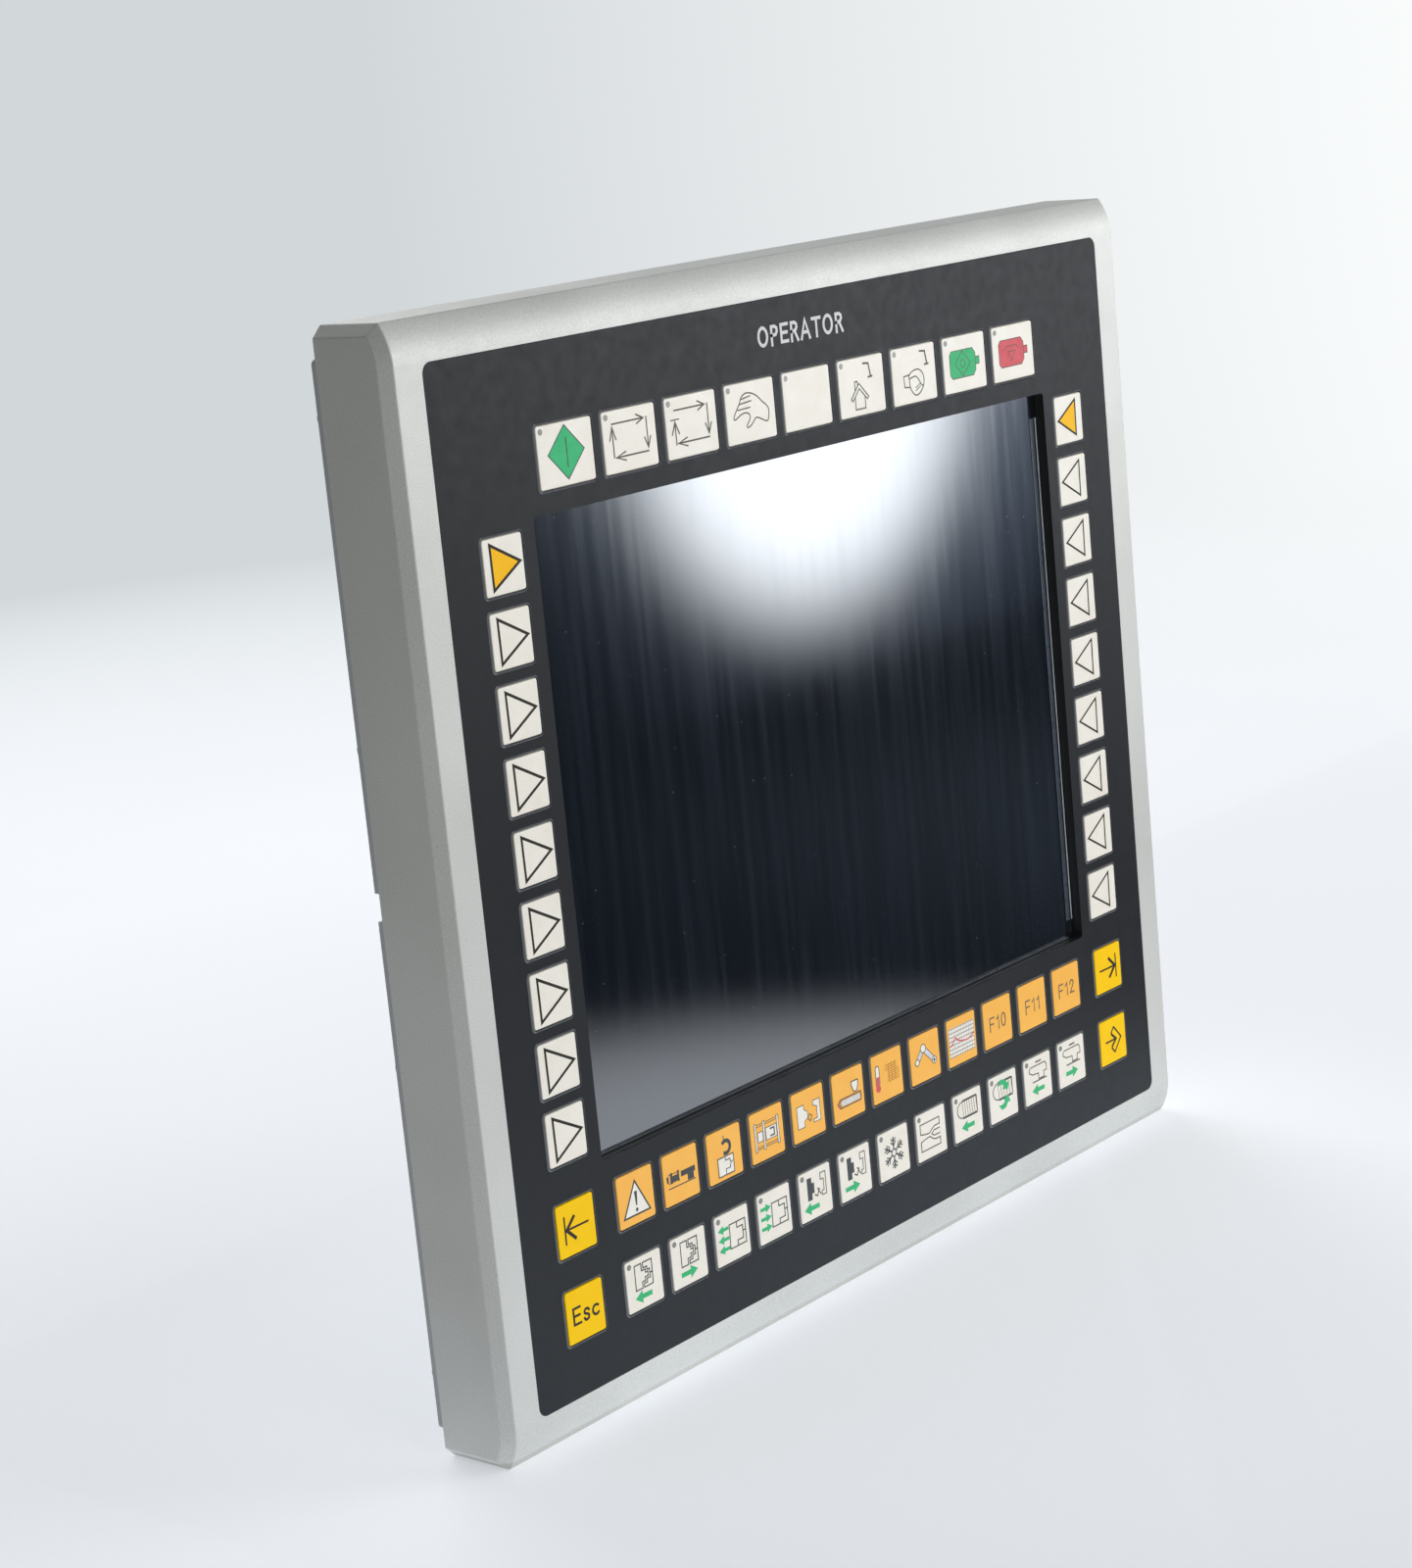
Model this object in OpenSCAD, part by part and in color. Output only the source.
// Operator panel with a screen and short-travel keys in a milled aluminium casing.
// Frame: +X right as the operator sees it, +Y out of the back, +Z up.
// The origin is the centre of the bolt pattern on the back of the arm plate.
// Depths are counted from the flat front face of the casing towards the back.

/* [Casing] */
// Width over the two end faces
panel_w = 432; // [424:1:520]
// Height over the top and bottom faces
panel_h = 400; // [396:1:480]
// Depth of the aluminium frame
frame_d = 32; // [30:1:40]
// Radius of the rounding along the front's top and bottom edges
edge_r = 25; // [20:1:34]
// How far that rounding reaches down from the top face
edge_rise = 15; // [8:1:15]
// Width of the bevel around both end faces
end_bevel = 4; // [2:0.5:5]
// Thickness of the left and right walls
side_wall = 14; // [13:1:16]
// Thickness of the top and bottom walls
cap_wall = 22; // [20:1:24]
// Radius of the corners inside the frame
cavity_corner_r = 6; // [3:1:9]

/* [Keypad] */
// Width of the printed overlay
overlay_w = 398; // [390:1:410]
// Height of the printed overlay
overlay_h = 370; // [364:1:374]
// Corner radius of the overlay
overlay_corner_r = 4; // [2:0.5:8]
// Thickness of the overlay film
film_t = 0.4; // [0.3:0.05:0.6]
// How far the film lies below the casing's front face
film_step = 0.1; // [0:0.05:0.3]
// Thickness of the plate that guides the keys
spacer_t = 1.5; // [1.3:0.1:2.2]
// Thickness of the keypad circuit board
keypad_board_t = 1; // [0.8:0.1:1.6]
// Side of a square key
key_size = 19.6; // [16:0.2:20.4]
// Width of a key in the top row
top_key_w = 28.4; // [24:0.2:29]
// Height of a key in the top row
top_key_h = 22; // [18:0.2:24]
// Corner radius of a key's face
key_corner_r = 1; // [0.5:0.1:2]
// How far a key's face stands out of the casing's front
key_proud = 0.3; // [0.1:0.05:0.6]
// How far a key goes in
key_travel = 0.6; // [0.3:0.05:0.7]
// Gap around a key's face
key_gap = 0.25; // [0.15:0.05:0.4]
// Thickness of a key's rim behind the film
key_rim_t = 0.4; // [0.3:0.05:0.6]
// Distance between keys in the top row
top_pitch = 33.7; // [32:0.1:36]
// Distance between keys in the two bottom rows
row_pitch = 25.25; // [23.5:0.05:26]
// Distance between keys in the two side columns
column_pitch = 25.3; // [23.5:0.1:26]
// Height of the top row above the middle of the panel
top_row_z = 145.8; // [142:0.2:150]
// Height of the first key in each side column
column_top_z = 113.4; // [110:0.2:116]
// Distance of the side columns from the middle
column_x = 171; // [168:0.5:178]
// Height of the upper bottom row
upper_row_z = -122.9; // [-124:0.1:-119]
// Height of the lower bottom row
lower_row_z = -155; // [-162:0.5:-150]
// Radius of the snap dome under a key
dome_r = 6; // [4:0.5:7]
// Height of the snap dome
dome_h = 0.45; // [0.3:0.05:0.5]

/* [Screen] */
// Width of the opening over the screen
view_w = 308; // [280:1:316]
// Height of the opening over the screen
view_h = 231; // [200:1:234]
// Height of the screen's middle above the panel's middle
view_z = 11; // [8:0.5:13]
// Corner radius of the opening over the screen
view_corner_r = 1.5; // [0.5:0.1:3]
// How far the touch glass reaches under the overlay on each side
glass_lap = 8; // [6:0.5:9]
// Thickness of the touch glass
glass_t = 2; // [1.5:0.1:3]
// Thickness of the foam gasket in front of the glass
gasket_t = 1.2; // [1.1:0.1:2]
// Space between the touch glass and the display module
display_gap = 0.5; // [0.3:0.1:1]
// How far the display module reaches beyond the opening on each side
display_lap = 7; // [6:0.5:9]
// Depth of the display module's metal bezel
bezel_d = 5.3; // [4:0.1:8]
// Depth of the display module
display_d = 7.5; // [7:0.1:14]

/* [Rear] */
// Thickness of the steel rear plate
plate_t = 2; // [1.5:0.1:3]
// Height of the rear plate
plate_h = 378; // [372:1:386]
// Height of the lift notch in each side of the rear plate
notch_h = 10; // [6:1:16]
// Depth of the lift notch
notch_depth = 3; // [2:0.5:4]
// Height of the notch's middle above the panel's middle
notch_z = 2; // [-10:1:10]
// Width of the electronics box
box_w = 300; // [260:2:320]
// Height of the electronics box
box_h = 240; // [220:2:260]
// Depth of the electronics box
box_d = 30; // [30:1:50]
// Sheet thickness of the electronics box
box_wall = 1.5; // [1:0.1:2]
// Width of the box's screw flange
flange_w = 13; // [11:1:16]
// Width and height of the arm plate
arm_plate_size = 140; // [136:1:180]
// Thickness of the arm plate
arm_plate_t = 5; // [4.5:0.5:8]
// Distance between the arm bolts
arm_bolt_pitch = 100; // [75:25:100]
// Radius of the tapped holes for the arm bolts
arm_bolt_r = 2.5; // [2:0.05:3]

/* [Boards] */
// Width of the main board
main_board_w = 240; // [200:2:244]
// Height of the main board
main_board_h = 190; // [170:2:200]
// Thickness of every circuit board in the housing
board_t = 1.6; // [1.2:0.1:2]
// Length of the posts between the main board and the box
post_l = 10.9; // [10.5:0.1:14]
// Width of the power board
power_board_w = 130; // [110:1:140]
// Height of the power board
power_board_h = 48; // [44:1:50]
// Width of the keypad's ribbon cable
ribbon_w = 24; // [16:1:30]
// Thickness of the ribbon cable
ribbon_t = 0.5; // [0.4:0.1:0.8]

/* [Hidden] */
$fn = 48;
// A cut runs this far past the face it opens
over = 1;
// Clearance of a sheet or a glass in its recess, each side
seat_gap = 0.15;
glass_gap = 0.5;
// Total depth, and the row coordinate of a depth
total_d = frame_d + plate_t + box_d + arm_plate_t;
function y_at(depth) = depth - total_d;
// Depths of the layers, front to back
film_d = film_step;
spacer_d = film_d + film_t;
keypad_board_d = spacer_d + spacer_t;
recess_d = keypad_board_d + keypad_board_t;
glass_d = recess_d + gasket_t;
web_back_d = glass_d + glass_t;
display_front_d = web_back_d + display_gap;
display_back_d = display_front_d + display_d;
plate_d = frame_d;
box_front_d = frame_d + plate_t;
box_back_d = box_front_d + box_d;
arm_plate_d = box_back_d;
// Casing outline
edge_start_z = panel_h / 2 - edge_rise;
edge_crease_d = edge_r - sqrt(edge_r * edge_r - edge_rise * edge_rise);
cavity_w = panel_w - 2 * side_wall;
cavity_h = panel_h - 2 * cap_wall;
// Rear seal in its groove around the cavity
seal_gap = 1.4;
seal_w = 2.2;
seal_t = 1.2;
// Screws: M4 pan heads outside, M3 pan heads inside
m4 = [1.95, 3.5, 2.4, 8]; // shank radius, head radius, head height, length
m3 = [1.45, 2.75, 2, 6];
clearance_r = 0.25; // a screw's hole is this much larger in radius
thread_r = 0.05; // and this much where it is tapped
socket_share = 0.5; // hex socket, as a share of the head's radius
rim_screw_x = panel_w / 2 - 5.5;
rim_screw_z = plate_h / 2 - 4;
corner_screw_z = rim_screw_z - 16;
rim_screws = concat(
    [for (sx = [-1, 1], z = [-1, -1 / 3, 1 / 3, 1]) [sx * rim_screw_x, z * corner_screw_z]],
    [for (sz = [-1, 1], x = [-100, 100]) [x, sz * rim_screw_z]]);
flange_x = (box_w + flange_w) / 2;
flange_z = (box_h + flange_w) / 2;
flange_screws = concat(
    [for (sx = [-1, 1], z = [-flange_z, 0, flange_z]) [sx * flange_x, z]],
    [for (sz = [-1, 1], x = [-box_w / 6, box_w / 6]) [x, sz * flange_z]]);
arm_screw_pitch = arm_plate_size - 16;
arm_screw_seat_d = total_d - m4[2] - 0.3; // the heads lie this deep in their counterbores
function square_places(pitch) = [for (sx = [-1, 1], sz = [-1, 1]) [sx, sz] * pitch / 2];
arm_screws = square_places(arm_screw_pitch);
arm_bolts = square_places(arm_bolt_pitch);
nut_r = 3.6;
// Keys: position, width and height of each
function top_key(i) = [(i - 5) * top_pitch, top_row_z, top_key_w, top_key_h];
function column_key(side, i) =
    [side * column_x, column_top_z - (i - 1) * column_pitch, key_size, key_size];
function corner_key(side, z) = [side * column_x, z, key_size, key_size];
function row_key(i, z) = [(i - 6.5) * row_pitch, z, key_size, key_size];
row_keys = 12;
line_keys = 9;
all_keys = concat(
    [for (i = [1:line_keys]) top_key(i)],
    [for (side = [-1, 1], i = [1:line_keys]) column_key(side, i)],
    [for (side = [-1, 1], z = [upper_row_z, lower_row_z]) corner_key(side, z)],
    [for (z = [upper_row_z, lower_row_z], i = [1:row_keys]) row_key(i, z)]);
key_rim = 0.6; // how far the rim reaches beyond the key's face
rim_gap = 0.3; // clearance around the rim in the spacer
rim_front_gap = 0.2; // space between the rim and the film
key_nub_r = 1.2;
dome_hole_r = 1.7;
dome_wall = 0.15;
// Display module
display_w = view_w + 2 * display_lap;
display_h = view_h + 2 * display_lap;
cell_t = 1.6;
sheet_t = 0.8;
bezel_lip = 8.5;
cell_d = display_front_d + sheet_t + 0.1;
tray_d = cell_d + cell_t + 0.2;
tray_gap = 0.3;
bracket_t = 1.5;
bracket_riser_x = display_w / 2 + 1;
bracket_foot_x = bracket_riser_x + 15;
bracket_tongue = 14.5;
bracket_boss_x = display_w / 2 + 10;
bracket_boss_h = 4;
bracket_boss_z = [-90, 0, 90];
bracket_l = 200;
boss_r = 4;
// Power board under the display
power_board_x = 85;
power_board_z = (view_z - display_h / 2 - cavity_h / 2) / 2 - 1;
power_board_d = web_back_d + 9.8;
board_hole_inset = 4;
part_root = 0.1; // a part on a board starts this far inside the board
capacitor_r = 4;
capacitor_pitch = 11;
// Parts on the power board: place from its middle, width, height, how far each stands out
power_parts = [[-26, 0, 28, 24, 8], [44, 6, 16, 12, 7], [14, -16, 30, 6, 6]];
power_capacitor_l = 8;
power_capacitors = [for (i = [0:2]) [2 + i * capacitor_pitch, 8]];
// Main board and its sockets along the box's lower wall
main_back_d = box_back_d - box_wall - post_l;
main_front_d = main_back_d - board_t;
box_floor_z = -box_h / 2;
main_board_z = box_floor_z + box_wall + 6 + main_board_h / 2;
// Parts on the main board, given in the same way
cooled_chip = [-20, 10];
main_parts = concat(
    [[cooled_chip[0], cooled_chip[1], 34, 34, 2], [60, 20, 20, 20, 2], [50, 70, 70, 8, 6]],
    [for (i = [0:3]) [-92 + i * 14, -20, 9, 12, 1.5]]);
main_capacitor_l = 9;
main_capacitors = [for (i = [0:3]) [-100 + i * capacitor_pitch, 60]];
// Vents in the box's upper wall; the lower wall has only the last few
vent_w = 3;
vent_l = 16;
vent_pitch = 12;
vent_count = 18;
lower_vent_first = 14;
vent_front_d = box_front_d + 7;
socket_gap = 0.3;
power_socket = [-95, 22, 9, 14]; // place along X, width, depth, length along Z
network_places = [-50, -26];
network_socket = [16, 13.5, 21];
usb_places = [5, 27];
usb_socket = [13.2, 5.8, 14];
stud_x = 70;
stud_r = 2.5;
stud_l = 12;
socket_proud = 0.6;
// Ribbon route
ribbon_x = -58;
ribbon_z = -min(cavity_h, overlay_h) / 2 + 6;
ribbon_turn_d = 24;
ribbon_top_z = -90;
ribbon_plug_z = ribbon_top_z + 26;
ribbon_plug_l = 5;

STRUCTURE = [
    "front_frame", "overlay_film", "key_spacer", "key_domes", "keypad_board", "screen_gasket",
    "touch_glass", "lcd_bezel", "lcd_cell", "backlight_tray", "lcd_brackets", "inner_screws",
    "power_board", "main_board", "heat_sink", "keypad_ribbon", "rear_plate", "rear_gasket",
    "rear_screws", "electronics_box", "arm_plate", "power_terminal", "network_sockets",
    "usb_sockets", "earth_stud"];
CORNER_KEYS = ["key_tab_back", "key_escape", "key_tab_next", "key_enter"];
KEY_GROUPS = ["keys_orange_left", "keys_orange_right", "keys_white_left", "keys_white_right"];

// ---- shapes used by several parts ----

module rounded_rect(w, h, r) {
    if (r <= 0) {
        square([w, h], center = true);
    } else {
        square([w - 2 * r, h], center = true);
        square([w, h - 2 * r], center = true);
        for (sx = [-1, 1], sy = [-1, 1])
            translate([sx * (w / 2 - r), sy * (h / 2 - r)]) circle(r = r);
    }
}

// A flat outline in X and Z, extruded from one depth to another
module layer(d0, d1, x = 0, z = 0) {
    translate([x, y_at(d1), z]) rotate([90, 0, 0]) linear_extrude(d1 - d0) children();
}

module slab(w, h, d0, d1, x = 0, z = 0, r = 0) {
    layer(d0, d1, x, z) rounded_rect(w, h, r);
}

module post(r, d0, d1, x = 0, z = 0) {
    translate([x, y_at(d1), z]) rotate([90, 0, 0]) cylinder(r = r, h = d1 - d0);
}

module posts(r, d0, d1, places) {
    for (p = places) post(r, d0, d1, p[0], p[1]);
}

// Closed ring of rectangular section around a w by h hole
module ring(w, h, band, d0, d1, z = 0, r = 0) {
    layer(d0, d1, 0, z) difference() {
        rounded_rect(w + 2 * band, h + 2 * band, r > 0 ? r + band : 0);
        rounded_rect(w, h, r);
    }
}

// Pan-head screw whose head rests on depth d; way is 1 when its shank points back, -1 to the front
module screw(size, d, x, z, way) {
    head = way > 0 ? [d - size[2], d] : [d, d + size[2]];
    shank = way > 0 ? [d, d + size[3]] : [d - size[3], d];
    socket = way > 0 ? [head[0] - over, head[0] + size[2] / 2] : [head[1] - size[2] / 2, head[1] + over];
    difference() {
        union() {
            post(size[1], head[0], head[1], x, z);
            post(size[0], shank[0], shank[1], x, z);
        }
        translate([x, y_at(socket[1]), z]) rotate([90, 0, 0])
            cylinder(r = size[1] * socket_share, h = socket[1] - socket[0], $fn = 6);
    }
}

// Outline of the frame seen from its end: X is depth, Y is height
module end_outline() {
    translate([0, -edge_start_z]) square([frame_d, 2 * edge_start_z]);
    translate([edge_crease_d, -panel_h / 2]) square([frame_d - edge_crease_d, panel_h]);
    for (s = [0, 1]) mirror([0, s]) intersection() {
        translate([edge_r, edge_start_z]) circle(r = edge_r, $fn = 96);
        translate([0, edge_start_z]) square([edge_r, edge_rise]);
    }
}

// Corner that a 45-degree bevel takes off, with its edge at [a, b] in the outline
module bevel_corner(a, b) {
    polygon([[a - end_bevel - over, b + over], [a + over, b - end_bevel - over], [a + over, b + over]]);
}

// What the bevel around the +X end face takes off
module end_bevel_cut() {
    for (s = [0, 1]) mirror([0, 0, s]) {
        // along the flat front
        translate([0, y_at(0), 0]) rotate([0, 0, -90]) linear_extrude(edge_start_z)
            bevel_corner(0, panel_w / 2);
        // around the rounded edge
        translate([0, y_at(edge_r), edge_start_z]) mirror([1, 0, 0]) rotate([90, 0, -90])
            rotate_extrude(angle = asin(edge_rise / edge_r) + 8, $fn = 96)
                bevel_corner(edge_r, panel_w / 2);
        // along the top face
        translate([0, y_at(frame_d + over), 0]) rotate([90, 0, 0]) linear_extrude(frame_d + over)
            bevel_corner_xz();
    }
}

module bevel_corner_xz() {
    polygon([
        [panel_w / 2 - end_bevel - over, panel_h / 2 + over],
        [panel_w / 2 + over, panel_h / 2 - end_bevel - over],
        [panel_w / 2 + over, panel_h / 2 + over]]);
}

// ---- casing ----

module frame_blank() {
    difference() {
        translate([0, y_at(0), 0]) rotate([90, 0, 90]) linear_extrude(panel_w, center = true)
            end_outline();
        for (s = [0, 1]) mirror([s, 0, 0]) end_bevel_cut();
    }
}

function bracket_boss_places() =
    [for (sx = [-1, 1], z = bracket_boss_z) [sx * bracket_boss_x, view_z + z]];

function board_hole_places(w, h, x, z) =
    [for (sx = [-1, 1], sz = [-1, 1])
        [x + sx * (w / 2 - board_hole_inset), z + sz * (h / 2 - board_hole_inset)]];

power_posts = board_hole_places(power_board_w, power_board_h, power_board_x, power_board_z);
main_posts = board_hole_places(main_board_w, main_board_h, 0, main_board_z);

module front_frame() {
    bracket_boss_d = web_back_d + bracket_boss_h;
    color("silver") difference() {
        union() {
            difference() {
                frame_blank();
                slab(overlay_w + 2 * seat_gap, overlay_h + 2 * seat_gap, -over, recess_d,
                    r = overlay_corner_r);
                slab(glass_w() + 2 * glass_gap, glass_h() + 2 * glass_gap, 0, web_back_d + over,
                    z = view_z, r = 2);
                slab(cavity_w, cavity_h, web_back_d, frame_d + over, r = cavity_corner_r);
                slab(ribbon_w + 4, 4, 0, web_back_d + over, x = ribbon_x, z = ribbon_z);
                ring(cavity_w + 2 * seal_gap, cavity_h + 2 * seal_gap, seal_w,
                    frame_d - seal_t, frame_d + over, r = cavity_corner_r);
            }
            posts(boss_r, web_back_d - over / 2, bracket_boss_d, bracket_boss_places());
            posts(boss_r, web_back_d - over / 2, power_board_d, power_posts);
        }
        posts(m3[0] + thread_r, bracket_boss_d - m3[3], bracket_boss_d + over, bracket_boss_places());
        posts(m3[0] + thread_r, power_board_d - m3[3], power_board_d + over, power_posts);
        posts(m4[0] + thread_r, frame_d - m4[3], frame_d + over, rim_screws);
    }
}

// ---- keypad ----

module key_openings(grow) {
    for (k = all_keys)
        translate([k[0], k[1]]) rounded_rect(k[2] + 2 * grow, k[3] + 2 * grow, key_corner_r + grow);
}

module view_opening() {
    translate([0, view_z]) rounded_rect(view_w, view_h, view_corner_r);
}

module overlay_film() {
    color("dimgray") layer(film_d, spacer_d) difference() {
        rounded_rect(overlay_w, overlay_h, overlay_corner_r);
        view_opening();
        key_openings(key_gap);
    }
}

module key_spacer() {
    color("black") layer(spacer_d, keypad_board_d) difference() {
        rounded_rect(overlay_w, overlay_h, overlay_corner_r);
        view_opening();
        key_openings(key_rim + rim_gap);
    }
}

module keypad_board() {
    color("darkgreen") layer(keypad_board_d, recess_d) difference() {
        rounded_rect(overlay_w, overlay_h, overlay_corner_r);
        view_opening();
    }
}

module key_domes() {
    color("gold") for (k = all_keys)
        translate([k[0], y_at(keypad_board_d), k[1]]) rotate([90, 0, 0]) rotate_extrude()
            polygon([[dome_r, 0], [dome_hole_r, dome_h], [dome_hole_r, dome_h - dome_wall],
                [dome_r - dome_r * dome_wall / dome_h, 0]]);
}

// One key: a face, a rim that keeps it behind the film, and a nub over the dome's hole
module key(k) {
    face_d = -key_proud;
    rim_d = spacer_d + rim_front_gap;
    back_d = rim_d + key_rim_t;
    dome_top_d = keypad_board_d - dome_h;
    relief_d = dome_top_d - key_travel - 0.05;
    nub_d = keypad_board_d - key_travel - 0.05;
    difference() {
        union() {
            slab(k[2], k[3], face_d, back_d, k[0], k[1], key_corner_r);
            slab(k[2] + 2 * key_rim, k[3] + 2 * key_rim, rim_d, back_d, k[0], k[1],
                key_corner_r + key_rim);
        }
        if (relief_d < back_d)
            post(dome_r + 1, relief_d, back_d + over, k[0], k[1]);
    }
    post(key_nub_r, face_d + 0.5, nub_d, k[0], k[1]);
}

module cream_key(k) {
    color("ivory") key(k);
}

module corner_key_part(n) {
    color("gold") key(corner_key(n < 2 ? -1 : 1, n % 2 == 0 ? upper_row_z : lower_row_z));
}

module key_group(n) {
    first = n % 2 == 0 ? 1 : row_keys / 2 + 1;
    color(n < 2 ? "orange" : "ivory")
        for (i = [first : first + row_keys / 2 - 1]) key(row_key(i, n < 2 ? upper_row_z : lower_row_z));
}

// ---- screen ----

function glass_w() = view_w + 2 * glass_lap;
function glass_h() = view_h + 2 * glass_lap;

module screen_gasket() {
    color("black") ring(view_w, view_h, glass_lap, recess_d, glass_d, view_z, view_corner_r);
}

module touch_glass() {
    color("midnightblue") slab(glass_w(), glass_h(), glass_d, web_back_d, z = view_z, r = 1);
}

module lcd_bezel() {
    color("lightgray") difference() {
        slab(display_w, display_h, display_front_d, display_front_d + bezel_d, z = view_z, r = 1);
        slab(display_w - 2 * sheet_t, display_h - 2 * sheet_t, display_front_d + sheet_t,
            display_front_d + bezel_d + over, z = view_z);
        slab(display_w - 2 * bezel_lip, display_h - 2 * bezel_lip, display_front_d - over,
            display_front_d + bezel_d, z = view_z);
    }
}

module lcd_cell() {
    margin = 2 * (sheet_t + 2);
    color("darkslategray") slab(display_w - margin, display_h - margin, cell_d, cell_d + cell_t, z = view_z);
}

// Metal tray with its light guide in place
module backlight_tray() {
    inset = 2 * (sheet_t + tray_gap);
    color("gainsboro") slab(display_w - inset, display_h - inset, tray_d, display_back_d, z = view_z, r = 1);
}

module lcd_bracket() {
    foot_d = web_back_d + bracket_boss_h;
    clamp_d = display_back_d + 0.1;
    difference() {
        union() {
            slab(bracket_foot_x - bracket_riser_x, bracket_l, foot_d, foot_d + bracket_t,
                (bracket_foot_x + bracket_riser_x) / 2, view_z);
            slab(bracket_t, bracket_l, foot_d, clamp_d + bracket_t,
                bracket_riser_x + bracket_t / 2, view_z);
            slab(bracket_tongue + bracket_t, bracket_l, clamp_d, clamp_d + bracket_t,
                bracket_riser_x + (bracket_t - bracket_tongue) / 2, view_z);
        }
        for (z = bracket_boss_z)
            post(m3[0] + clearance_r, foot_d - over, foot_d + bracket_t + over, bracket_boss_x, view_z + z);
    }
}

module lcd_brackets() {
    color("silver") for (s = [0, 1]) mirror([s, 0, 0]) lcd_bracket();
}

module inner_screws() {
    color("silver") {
        for (p = bracket_boss_places())
            screw(m3, web_back_d + bracket_boss_h + bracket_t, p[0], p[1], -1);
        for (p = power_posts) screw(m3, power_board_d + board_t, p[0], p[1], -1);
        for (p = main_posts) screw(m3, main_front_d, p[0], p[1], 1);
    }
}

// ---- boards ----

// Board parts that stand back from depth d (way 1) or forward from it (way -1)
module board_parts(parts, d, x, z, way) {
    for (p = parts) {
        tip = d + way * p[4];
        slab(p[2], p[3], min(d - way * part_root, tip), max(d - way * part_root, tip), x + p[0], z + p[1]);
    }
}

module capacitors(places, d, length, x, z, way) {
    tip = d + way * length;
    for (p = places)
        post(capacitor_r, min(d - way * part_root, tip), max(d - way * part_root, tip), x + p[0], z + p[1]);
}

module power_board() {
    back = power_board_d + board_t;
    color("green") difference() {
        union() {
            slab(power_board_w, power_board_h, power_board_d, back, power_board_x, power_board_z, 1);
            board_parts(power_parts, back, power_board_x, power_board_z, 1);
            capacitors(power_capacitors, back, power_capacitor_l, power_board_x, power_board_z, 1);
        }
        posts(m3[0] + clearance_r, power_board_d - over, back + over, power_posts);
    }
}

module main_board() {
    color("green") difference() {
        union() {
            slab(main_board_w, main_board_h, main_front_d, main_back_d, 0, main_board_z, 1);
            board_parts(main_parts, main_front_d, 0, main_board_z, -1);
            board_parts([[ribbon_x, ribbon_plug_z, ribbon_w + 6, 6, ribbon_plug_l]], main_front_d, 0, 0, -1);
            capacitors(main_capacitors, main_front_d, main_capacitor_l, 0, main_board_z, -1);
        }
        posts(m3[0] + clearance_r, main_front_d - over, main_back_d + over, main_posts);
    }
}

module heat_sink() {
    size = 70;
    base_t = 2;
    pad_t = 0.2; // thermal pad, not modelled
    fin_t = 1.4;
    fin_count = 12;
    fin_tip_d = box_back_d - box_wall - 1;
    color("silver") {
        translate([cooled_chip[0], 0, main_board_z + cooled_chip[1]]) {
            slab(size, size, main_back_d + pad_t, main_back_d + pad_t + base_t);
            for (i = [0:fin_count - 1])
                slab(fin_t, size, main_back_d + base_t, fin_tip_d,
                    (fin_t - size) / 2 + i * (size - fin_t) / (fin_count - 1));
        }
    }
}

module keypad_ribbon() {
    low_z = ribbon_z - ribbon_t / 2;
    lift_d = main_front_d - ribbon_plug_l - 3;
    color("lightgray") {
        slab(ribbon_w, ribbon_t, recess_d, ribbon_turn_d, ribbon_x, ribbon_z);
        slab(ribbon_w, ribbon_top_z - low_z, ribbon_turn_d - ribbon_t, ribbon_turn_d, ribbon_x,
            (ribbon_top_z + low_z) / 2);
        slab(ribbon_w, ribbon_t, ribbon_turn_d - ribbon_t, lift_d, ribbon_x,
            ribbon_top_z - ribbon_t / 2);
        slab(ribbon_w, ribbon_plug_z - ribbon_top_z + ribbon_t, lift_d - ribbon_t, lift_d,
            ribbon_x, (ribbon_plug_z + ribbon_top_z - ribbon_t) / 2);
        slab(ribbon_w, 3, lift_d, main_front_d - ribbon_plug_l, ribbon_x, ribbon_plug_z - 1.5);
    }
}

// ---- rear ----

module rear_plate() {
    window_w = box_w - 20;
    window_h = box_h - 20;
    color("gray") difference() {
        union() {
            slab(panel_w, plate_h, plate_d, box_front_d, r = 2);
            posts(nut_r, box_front_d - m4[3] + 1, plate_d + over / 2, flange_screws);
        }
        slab(window_w, window_h, plate_d - over, box_front_d + over, r = 6);
        for (s = [-1, 1])
            slab(2 * notch_depth, notch_h, plate_d - over, box_front_d + over, s * panel_w / 2, notch_z);
        posts(m4[0] + clearance_r, plate_d - over, box_front_d + over, rim_screws);
        posts(m4[0] + thread_r, box_front_d - m4[3], box_front_d + over, flange_screws);
    }
}

module rear_gasket() {
    color("black") ring(cavity_w + 2 * seal_gap + 0.1, cavity_h + 2 * seal_gap + 0.1, seal_w - 0.1,
        frame_d - seal_t, frame_d, r = cavity_corner_r);
}

module rear_screws() {
    color("silver") {
        for (p = rim_screws) screw(m4, box_front_d, p[0], p[1], -1);
        for (p = flange_screws) screw(m4, box_front_d + box_wall, p[0], p[1], -1);
        for (p = arm_screws) screw(m4, arm_screw_seat_d, p[0], p[1], -1);
    }
}

// Cut-out in the box's lower wall for a socket of width w and depth d
module socket_cut(x, w, d) {
    translate([x - w / 2 - socket_gap, y_at(main_front_d - d - socket_gap), box_floor_z - over])
        cube([w + 2 * socket_gap, d + 2 * socket_gap, box_wall + 2 * over]);
}

// Vent number i, through the wall that starts at height z
module vent(i, z) {
    translate([(i - (vent_count - 1) / 2) * vent_pitch - vent_w / 2, y_at(vent_front_d), z - over])
        cube([vent_w, vent_l, box_wall + 2 * over]);
}

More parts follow.
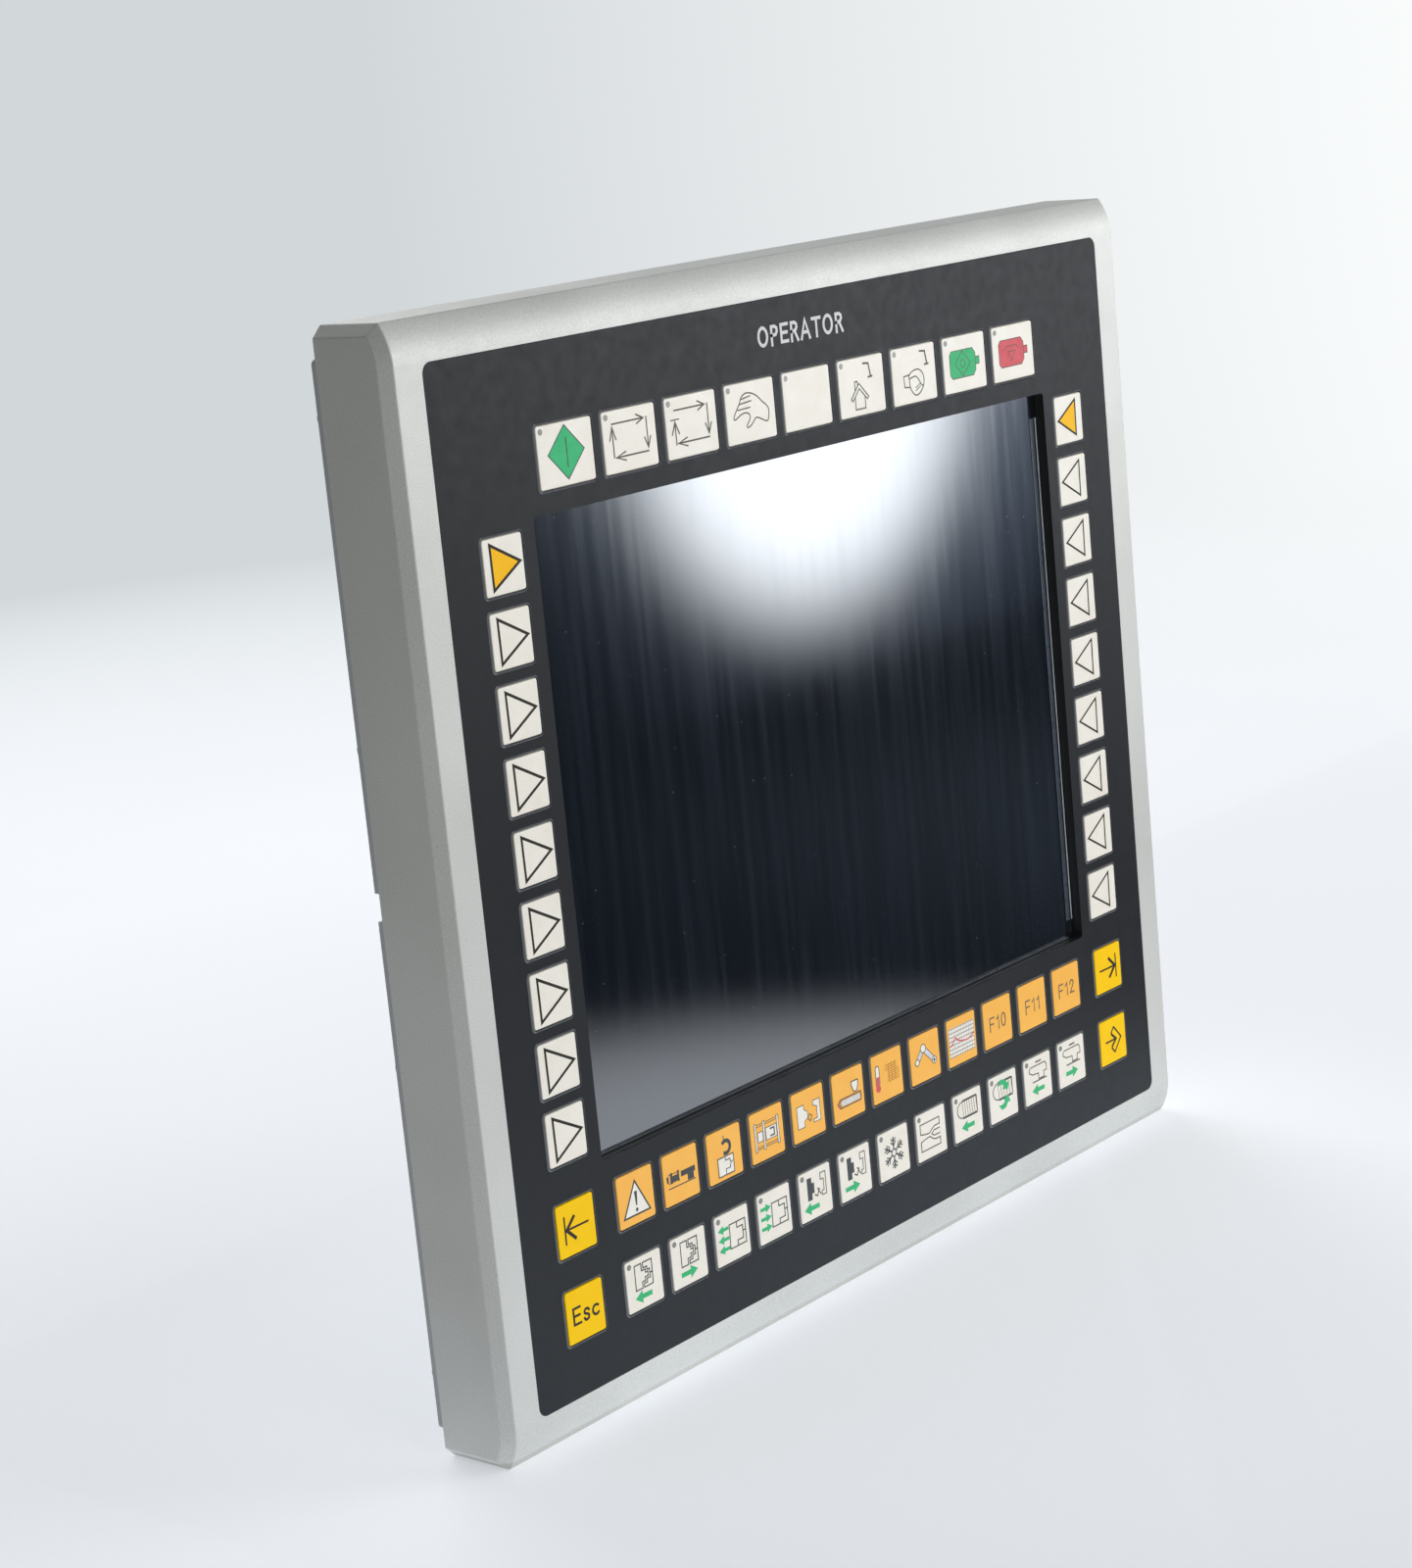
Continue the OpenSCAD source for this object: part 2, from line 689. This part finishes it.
module electronics_box() {
    inner_d = box_back_d - box_wall;
    color("gray") difference() {
        union() {
            difference() {
                union() {
                    slab(box_w, box_h, box_front_d, box_back_d, r = 4);
                    slab(box_w + 2 * flange_w, box_h + 2 * flange_w, box_front_d,
                        box_front_d + box_wall, r = 6);
                }
                slab(box_w - 2 * box_wall, box_h - 2 * box_wall, box_front_d - over, inner_d, r = 2.5);
            }
            posts(boss_r, main_back_d, inner_d + box_wall / 2, main_posts);
            posts(nut_r, inner_d - 4.2, inner_d + box_wall / 2, arm_screws);
        }
        posts(m3[0] + thread_r, main_back_d - over, main_back_d + m3[3], main_posts);
        posts(m4[0] + thread_r, inner_d - 6, box_back_d + over, arm_screws);
        posts(m4[0] + clearance_r, box_front_d - over, box_front_d + box_wall + over, flange_screws);
        posts(arm_bolt_r + 1, inner_d - over, box_back_d + over, arm_bolts);
        for (i = [0:vent_count - 1]) vent(i, box_h / 2 - box_wall);
        for (i = [lower_vent_first:vent_count - 1]) vent(i, box_floor_z);
        socket_cut(power_socket[0], power_socket[1], power_socket[2]);
        for (x = network_places) socket_cut(x, network_socket[0], network_socket[1]);
        for (x = usb_places) socket_cut(x, usb_socket[0], usb_socket[1]);
        translate([stud_x, y_at(main_front_d - 8), box_floor_z - over])
            cylinder(r = stud_r + 0.1, h = box_wall + 2 * over);
    }
}

module arm_plate() {
    color("silver") difference() {
        slab(arm_plate_size, arm_plate_size, arm_plate_d, total_d, r = 6);
        posts(arm_bolt_r, arm_plate_d - over, total_d + over, arm_bolts);
        posts(m4[0] + clearance_r, arm_plate_d - over, total_d + over, arm_screws);
        posts(m4[1] + 0.4, arm_screw_seat_d, total_d + over, arm_screws);
    }
}

// ---- sockets along the lower wall ----

// Block of width w, depth d and length l that hangs on the main board's front, mouth down
module socket_block(x, w, d, l) {
    translate([x - w / 2, y_at(main_front_d - d), box_floor_z - socket_proud]) cube([w, d, l]);
}

module power_terminal() {
    pole_pitch = 7;
    color("green") difference() {
        socket_block(power_socket[0], power_socket[1], power_socket[2], power_socket[3]);
        for (i = [-1:1]) {
            translate([power_socket[0] + i * pole_pitch - 1.7, y_at(main_front_d - 7),
                    box_floor_z - socket_proud - over])
                cube([3.4, 3.4, 8 + over]);
            translate([power_socket[0] + i * pole_pitch, y_at(main_front_d - power_socket[2] - over),
                    box_floor_z + 7]) rotate([-90, 0, 0]) cylinder(r = 1.8, h = 2.4 + over);
        }
    }
}

module network_sockets() {
    mouth = [11.8, 8.2, 14];
    color("silver") for (x = network_places) difference() {
        socket_block(x, network_socket[0], network_socket[1], network_socket[2]);
        translate([x - mouth[0] / 2, y_at(main_front_d - 11), box_floor_z - socket_proud - over])
            cube([mouth[0], mouth[1], mouth[2] + over]);
    }
}

module usb_sockets() {
    shell = 0.5;
    color("silver") for (x = usb_places) {
        difference() {
            socket_block(x, usb_socket[0], usb_socket[1], usb_socket[2]);
            translate([x - usb_socket[0] / 2 + shell, y_at(main_front_d - usb_socket[1] + shell),
                    box_floor_z - socket_proud - over])
                cube([usb_socket[0] - 2 * shell, usb_socket[1] - 2 * shell, 11 + over]);
        }
        translate([x - 5, y_at(main_front_d - usb_socket[1] + shell + 0.7), box_floor_z + 0.6])
            cube([10, 1.6, 10.2]);
    }
}

module earth_stud() {
    depth = main_front_d - 8;
    nut_w = 8;
    nut_t = 4;
    color("goldenrod") translate([stud_x, y_at(depth), box_floor_z]) {
        translate([0, 0, -stud_l]) cylinder(r = stud_r, h = stud_l + box_wall + 3);
        translate([0, 0, -nut_t]) cylinder(d = nut_w / cos(30), h = nut_t, $fn = 6);
        translate([0, 0, box_wall]) cylinder(d = nut_w / cos(30), h = nut_t - 1, $fn = 6);
    }
}

// ---- one line for each node ----

front_frame();
overlay_film();
key_spacer();
key_domes();
keypad_board();
screen_gasket();
touch_glass();
lcd_bezel();
lcd_cell();
backlight_tray();
lcd_brackets();
inner_screws();
power_board();
main_board();
heat_sink();
keypad_ribbon();
rear_plate();
rear_gasket();
rear_screws();
electronics_box();
arm_plate();
power_terminal();
network_sockets();
usb_sockets();
earth_stud();
for (i = [1:line_keys]) {
    cream_key(top_key(i));
    cream_key(column_key(-1, i));
    cream_key(column_key(1, i));
}
for (n = [0:3]) {
    corner_key_part(n);
    key_group(n);
}
